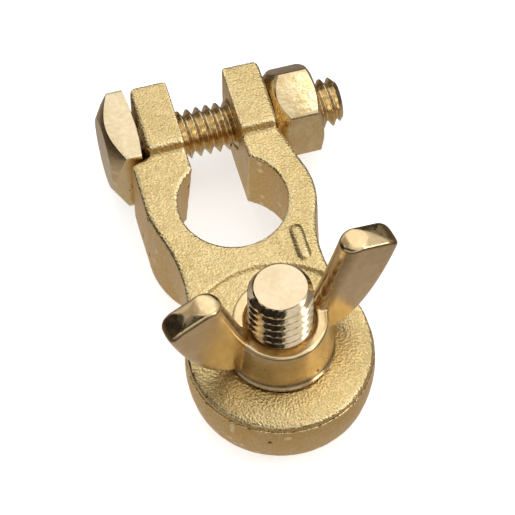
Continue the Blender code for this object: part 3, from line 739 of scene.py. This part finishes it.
def makeBolt():
    size = boltSize
    bolt = threadedRod("clampBolt", boltThread, boltBrass, alongX)
    head = millHead("boltHead", boltHead, alongX)
    face = turned("boltWasherFace", [
        (3.0 * mm, size["headBack"] - 0.3 * mm), (5.1 * mm, size["headBack"] - 0.3 * mm),
        (5.1 * mm, size["seat"] - 0.1 * mm), (5.04 * mm, size["seat"] - 0.04 * mm),
        (4.9 * mm, size["seat"]), (3.0 * mm, size["seat"]),
    ], alongX)
    joinInto(bolt, [head, softenEdges(face, 0.04 * mm, 30, 2)])
    finishPiece(bolt, "clamp_bolt", "clamp_bolt", boltBrass)
    print("clamp bolt:", len(bolt.data.polygons), "faces")


makeBolt()


# clamp nut: hexagon with turned corners and a threaded hole

nutSize = {
    "acrossFlats": 10.8 * mm, "low": 8.85 * mm, "high": 14.85 * mm, "turn": math.radians(43.8),
    "face": 4.9 * mm, "lowFall": 1.15 / 0.9, "highFall": 0.5 / 0.9, "mouth": 3.6 * mm, "steps": 192,
    "trim": 0.05 * mm, "edge": 0.10 * mm,
}


def makeNut():
    size = nutSize
    flat, steps = size["acrossFlats"] / 2, size["steps"]
    start = size["turn"] + math.pi / 6

    def outline(angle):
        return polygonRadius(angle, 6, flat, size["turn"], size["trim"])

    def fall(angle, slope):
        return max(0.0, outline(angle) - size["face"]) * slope

    rows = threadedWall(boltThread, size["low"], size["high"], size["mouth"], steps, start)
    reaches = [size["mouth"] + (size["face"] - size["mouth"]) * share for share in (0.08, 0.5, 1.0)]
    for reach in reaches:
        rows.append(ringAt(lambda a: reach, lambda a: size["low"], steps, start))
    rows.append(ringAt(outline, lambda a: size["low"] + fall(a, size["lowFall"]), steps, start))
    rows.append(ringAt(outline, lambda a: size["high"] - fall(a, size["highFall"]), steps, start))
    for reach in reversed(reaches):
        rows.append(ringAt(lambda a: reach, lambda a: size["high"], steps, start))
    nut = gridObject("clampNut", rows, closedEnds=False)
    nut.data.transform(alongX)
    softenEdges(nut, size["edge"], 28)
    finishPiece(nut, "clamp_nut", "clamp_nut", nutBrass)
    print("clamp nut:", len(nut.data.polygons), "faces")


makeNut()


# stud: hexagonal head in its pocket and a bright rolled thread

studSize = {
    "diameter": 7.94 * mm, "pitch": 1.4111 * mm, "headTop": 7.5 * mm, "headLow": 2.3 * mm,
    "top": 24.3 * mm, "tipRadius": 3.2 * mm,
}
studThread = {
    "Diameter": studSize["diameter"], "Pitch": studSize["pitch"], "Bottom": studSize["headTop"],
    "Top": studSize["top"], "Plain Length": 0.0, "Depth": 0.6134 * studSize["pitch"],
    "Root Width": 0.14, "Crest Start": 0.88, "Tip Radius": studSize["tipRadius"], "Tip Slope": 1.0,
    "Phase": 11 / 12, "Sides": 108, "Rows Per Turn": 24.0,
}
studHead = {
    "sides": 6, "acrossFlats": 12.7 * mm, "turn": math.pi / 6, "trim": 0.1 * mm, "end": studSize["headLow"],
    "back": studSize["headTop"], "endFace": 6.0 * mm, "endSlope": 0.55, "backFace": 6.1 * mm,
    "backSlope": 0.4, "steps": 144, "edge": 0.12 * mm,
}


def makeStud():
    stud = threadedRod("studRod", studThread, studBrass, alongZ)
    head = millHead("studHead", studHead, alongZ)
    joinInto(stud, [head])
    finishPiece(stud, "stud", "stud", studBrass)
    print("stud:", len(stud.data.polygons), "faces")


makeStud()


# wing nut: turned hub and two cast wings

wingSize = {
    "seat": 11.3 * mm, "hubTop": 17.3 * mm, "collar": 6.8 * mm, "collarThick": 0.6 * mm,
    "hubFoot": 6.25 * mm, "hubHead": 5.7 * mm, "turn": math.radians(11.7), "tipRadius": 15.3 * mm,
    "tipTop": 27.6 * mm, "tipFall": 2.6 * mm, "tipWidth": 7.2 * mm, "thick": 3.4 * mm,
    "mouth": 4.37 * mm, "tipCrown": 1.15 * mm, "tipRound": 0.4 * mm,
    "voxel": 0.14 * mm, "smoothing": 5, "steps": 28, "boreGap": 0.25 * mm, "wallGap": 0.12 * mm,
    "sleeveWall": 0.35 * mm,
}


def curvePoint(points, share):
    first, pull, last = points
    rest = 1 - share
    return first * rest ** 2 + pull * 2 * rest * share + last * share ** 2


def wingSlice(inner, outer, thick, steps=12):
    # across one wing: round at its inner edge, squarer at its outer one
    across = (outer - inner).normalized()
    middle, half = (outer + inner) / 2, thick / 2
    reach = (outer - inner).length / 2 - half
    points = []
    for side, power in ((1, 0.6), (-1, 0.95)):
        for i in range(steps + 1):
            angle = side * (math.pi * i / steps - math.pi / 2)
            along = math.cos(angle) ** power if 0 < i < steps else 0.0
            depth = math.copysign(abs(math.sin(angle)) ** power, math.sin(angle))
            spot = middle + across * side * (reach + half * along)
            points.append(Vector((spot.x, half * depth, spot.y)))
    return points


def makeWing(name, side):
    size = wingSize
    height = size["tipTop"] - castSize["padTop"]
    tipInner = size["tipRadius"] - size["tipWidth"]
    inner = (Vector((size["hubHead"] * 0.6, size["seat"] + 3.3 * mm)),
             Vector((tipInner * 0.66, size["seat"] + height * 0.45)), Vector((tipInner, size["tipTop"])))
    outer = (Vector((size["hubFoot"] * 0.82, size["seat"] + 0.45 * mm)),
             Vector((size["tipRadius"] * 0.72, size["seat"] + 0.6 * mm)),
             Vector((size["tipRadius"], size["tipTop"] - size["tipFall"])))
    steps = size["steps"]
    rows = [
        wingSlice(curvePoint(inner, i / steps), curvePoint(outer, i / steps),
                  size["thick"] * (1 - 0.25 * (1 - i / steps) ** 3))
        for i in range(steps + 1)
    ]
    last = rows[-1]
    middle = sum(last, Vector()) / len(last)
    across = (outer[2] - inner[2]).normalized()
    across = Vector((across.x, 0, across.y))
    up = Vector((-across.z, 0, across.x))
    half = (outer[2] - inner[2]).length / 2

    def crowned(p, shrink, rise):
        # the end face is bowed from its inner to its outer corner
        q = middle + (p - middle) * shrink
        along = (q - middle).dot(across) / half
        return q + up * (rise + size["tipCrown"] * (1 - along * along))

    rows[-1] = [crowned(p, 1.0, -size["tipRound"]) for p in last]
    for part in range(1, 6):
        angle = math.pi / 2 * part / 5
        shrink = 1 - size["tipRound"] * (1 - math.cos(angle)) / (size["thick"] / 2)
        rise = size["tipRound"] * (math.sin(angle) - 1)
        rows.append([crowned(p, shrink, rise) for p in last])
    for share in (0.75, 0.5, 0.25, 0.05):
        rows.append([crowned(p, shrink * share, 0.0) for p in last])
    wing = gridObject(name, rows)
    spin = Matrix.Rotation(size["turn"] + (0 if side > 0 else math.pi), 4, "Z")
    wing.data.transform(alongZ @ spin)
    return wing


def makeWingNut():
    size = wingSize
    seat, top = size["seat"], size["hubTop"]
    collar = seat + size["collarThick"]
    core = studSize["diameter"] / 2 + size["boreGap"]
    hub = turned("wingNut", [
        (core, seat + 0.1 * mm), (size["mouth"], seat), (size["collar"] - 0.1 * mm, seat),
        (size["collar"], seat + 0.1 * mm), (size["collar"], collar - 0.4 * mm),
        (size["collar"] - 0.18 * mm, collar - 0.25 * mm), (size["collar"] - 0.35 * mm, collar),
        (size["collar"] - 0.5 * mm, collar + 0.4 * mm), (size["hubFoot"] - 0.07 * mm, collar + 1.0 * mm),
        (size["hubHead"] + 0.1 * mm, top - 0.25 * mm),
        (size["hubHead"], top - 0.05 * mm), (size["hubHead"] - 0.15 * mm, top),
        (size["mouth"] + 0.1 * mm, top), (size["mouth"], top - 0.1 * mm), (core, top - 0.3 * mm),
    ], alongZ, 128, closedEnds=False)
    joinInto(hub, [makeWing("rightWing", 1), makeWing("leftWing", -1)])
    bore = turned("wingBore", [(core, seat - 2 * mm), (core, top + 8 * mm)], alongZ, 96)
    cutAway(hub, bore)
    remeshed(hub, size["voxel"], size["smoothing"])
    low, high = seat + size["wallGap"], top - size["wallGap"]
    rows = threadedWall(studThread, low, high, size["mouth"], 96)
    for height in (low, high):
        rows.append(ringAt(lambda a: size["mouth"] + size["sleeveWall"], lambda a: height, 96))
    sleeve = gridObject("wingThread", rows, closedEnds=False)
    sleeve.data.transform(alongZ)
    joinInto(hub, [sleeve])
    finishPiece(hub, "wing_nut", "wing_nut", wingBrass)
    for polygon in hub.data.polygons:
        polygon.use_smooth = True
    print("wing nut:", len(hub.data.polygons), "faces")


makeWingNut()


# floor, lights and camera

studio = {
    "target": Vector((0, -10 * mm, 6 * mm)), "azimuth": math.radians(-15.413),
    "elevation": math.radians(57.324), "roll": math.radians(-0.185), "distance": 372.06 * mm,
    "lens": 208.15, "slideRight": 0.422 * mm, "slideUp": 3.786 * mm,
    "floorHeight": -0.05 * mm, "floorTone": 0.86, "floorGlow": 0.55,
}
# each softbox: azimuth, elevation, distance, width, height, power
softboxes = {
    "overheadBox": (165, 60, 0.6, 0.5, 0.4, 0.31),
    "sideBox": (48, 8, 0.6, 0.16, 0.34, 0.55),
    "highBox": (115, 62, 0.6, 0.10, 0.2, 0.13),
    "threadBox": (62, 42, 0.6, 0.12, 0.2, 0.22),
}


def plainTone(colour):
    return {"round": False, "from": -0.5, "to": 0.5, "low": colour, "high": colour}


darkTone = plainTone((0.012, 0.010, 0.008))
shadeWidth = 2.4
shadeTone = {
    "round": True, "from": 0.015 / shadeWidth, "to": 0.07 / shadeWidth,
    "low": (0.52, 0.47, 0.42), "high": (0.08, 0.06, 0.045),
}
# each card: azimuth, elevation, distance, width, height, tones
cards = {
    "leftCard": (-107, 22, 0.45, 0.32, 0.46, darkTone),
    "rightCard": (150, 15, 0.45, 0.34, 0.20, darkTone),
    "viewCard": (-60, 56, 0.45, 0.44, 0.26, darkTone),
    "tipCard": (-142, 56, 0.45, 0.20, 0.22, plainTone((0.42, 0.38, 0.32))),
    "floorShade": (0, 90, -6.02 * mm, shadeWidth, shadeWidth, shadeTone),
}


def cameraAxes(azimuth, elevation):
    back = Vector((math.sin(azimuth) * math.cos(elevation), -math.cos(azimuth) * math.cos(elevation),
                   math.sin(elevation)))
    right = Vector((math.cos(azimuth), math.sin(azimuth), 0))
    return right, back.cross(right), back


def addCamera():
    right, up, back = cameraAxes(studio["azimuth"], studio["elevation"])
    data = bpy.data.cameras.new("camera")
    data.sensor_width = 36
    data.lens = studio["lens"]
    data.clip_start, data.clip_end = 0.01, 20
    camera = bpy.data.objects.new("camera", data)
    bpy.context.scene.collection.objects.link(camera)
    spot = studio["target"] + right * studio["slideRight"] + up * studio["slideUp"]
    spot += back * studio["distance"]
    turn = Matrix((right, up, back)).transposed().to_4x4()
    camera.matrix_world = Matrix.Translation(spot) @ turn @ Matrix.Rotation(studio["roll"], 4, "Z")
    bpy.context.scene.camera = camera


def addFloor():
    bm = bmesh.new()
    bmesh.ops.create_grid(bm, x_segments=1, y_segments=1, size=1.5)
    mesh = bpy.data.meshes.new("floor")
    bm.to_mesh(mesh)
    bm.free()
    floor = newObject("floor", mesh)
    floor.location.z = studio["floorHeight"]
    material = bpy.data.materials.new("paleFloor")
    material.use_nodes = True
    shader = material.node_tree.nodes["Principled BSDF"]
    shader.inputs["Base Color"].default_value = (*[studio["floorTone"]] * 3, 1)
    shader.inputs["Roughness"].default_value = 0.7
    shader.inputs["Specular IOR Level"].default_value = 0.2
    shader.inputs["Emission Color"].default_value = (1, 1, 1, 1)
    shader.inputs["Emission Strength"].default_value = studio["floorGlow"]
    mesh.materials.append(material)


def addSoftbox(name, azimuth, elevation, distance, width, height, power):
    # azimuth turns from -Y towards +X, as the camera's does
    right, up, back = cameraAxes(math.radians(azimuth), math.radians(elevation))
    data = bpy.data.lights.new(name, "AREA")
    data.shape = "RECTANGLE"
    data.size, data.size_y = width, height
    data.energy = power
    light = bpy.data.objects.new(name, data)
    bpy.context.scene.collection.objects.link(light)
    turn = Matrix((right, up, back)).transposed().to_4x4()
    light.matrix_world = Matrix.Translation(studio["target"] + back * distance) @ turn


def addCard(name, azimuth, elevation, distance, width, height, tones):
    # a card seen only in reflections, graded from its lower to its upper edge
    right, up, back = cameraAxes(math.radians(azimuth), math.radians(elevation))
    bm = bmesh.new()
    bmesh.ops.create_grid(bm, x_segments=1, y_segments=1, size=0.5)
    mesh = bpy.data.meshes.new(name)
    bm.to_mesh(mesh)
    bm.free()
    card = newObject(name, mesh)
    turn = Matrix((right, up, back)).transposed().to_4x4()
    spot = Matrix.Translation(studio["target"] + back * distance)
    card.matrix_world = spot @ turn @ Matrix.Diagonal((width, height, 1, 1))
    material = bpy.data.materials.new(name)
    material.use_nodes = True
    tree = material.node_tree
    shader = tree.nodes["Principled BSDF"]
    shader.inputs["Base Color"].default_value = (0.0, 0.0, 0.0, 1)
    shader.inputs["Specular IOR Level"].default_value = 0.0
    shader.inputs["Emission Strength"].default_value = 1.0
    place = put(tree.nodes, "ShaderNodeSeparateXYZ")
    local = tree.nodes.new("ShaderNodeTexCoord").outputs["Object"]
    tree.links.new(local, place.inputs[0])
    where = place.outputs["Y"]
    if tones["round"]:
        reach = put(tree.nodes, "ShaderNodeVectorMath", operation="LENGTH")
        tree.links.new(local, reach.inputs[0])
        where = reach.outputs["Value"]
    share = spread(tree, where, tones["from"], tones["to"], kind="SMOOTHSTEP")
    tree.links.new(blend(tree, share, tones["low"], tones["high"]), shader.inputs["Emission Color"])
    mesh.materials.append(material)
    card.visible_camera = False
    card.visible_diffuse = False
    card.visible_shadow = False


room = {"from": 0.1, "to": 0.75, "low": (0.30, 0.28, 0.26), "high": (0.95, 0.95, 0.95)}


def addRoom():
    world = bpy.data.worlds.new("room")
    world.use_nodes = True
    bpy.context.scene.world = world
    tree = world.node_tree
    backdrop = tree.nodes["Background"]
    height = put(tree.nodes, "ShaderNodeSeparateXYZ")
    tree.links.new(tree.nodes.new("ShaderNodeTexCoord").outputs["Generated"], height.inputs[0])
    share = spread(tree, height.outputs["Z"], room["from"], room["to"], kind="SMOOTHSTEP")
    tree.links.new(blend(tree, share, room["low"], room["high"]), backdrop.inputs["Color"])
    backdrop.inputs["Strength"].default_value = 1.0


addCamera()
addFloor()
addRoom()
for name, values in softboxes.items():
    addSoftbox(name, *values)
for name, values in cards.items():
    addCard(name, *values)
bpy.context.scene.view_settings.view_transform = "Standard"
print("camera, floor and lights set")
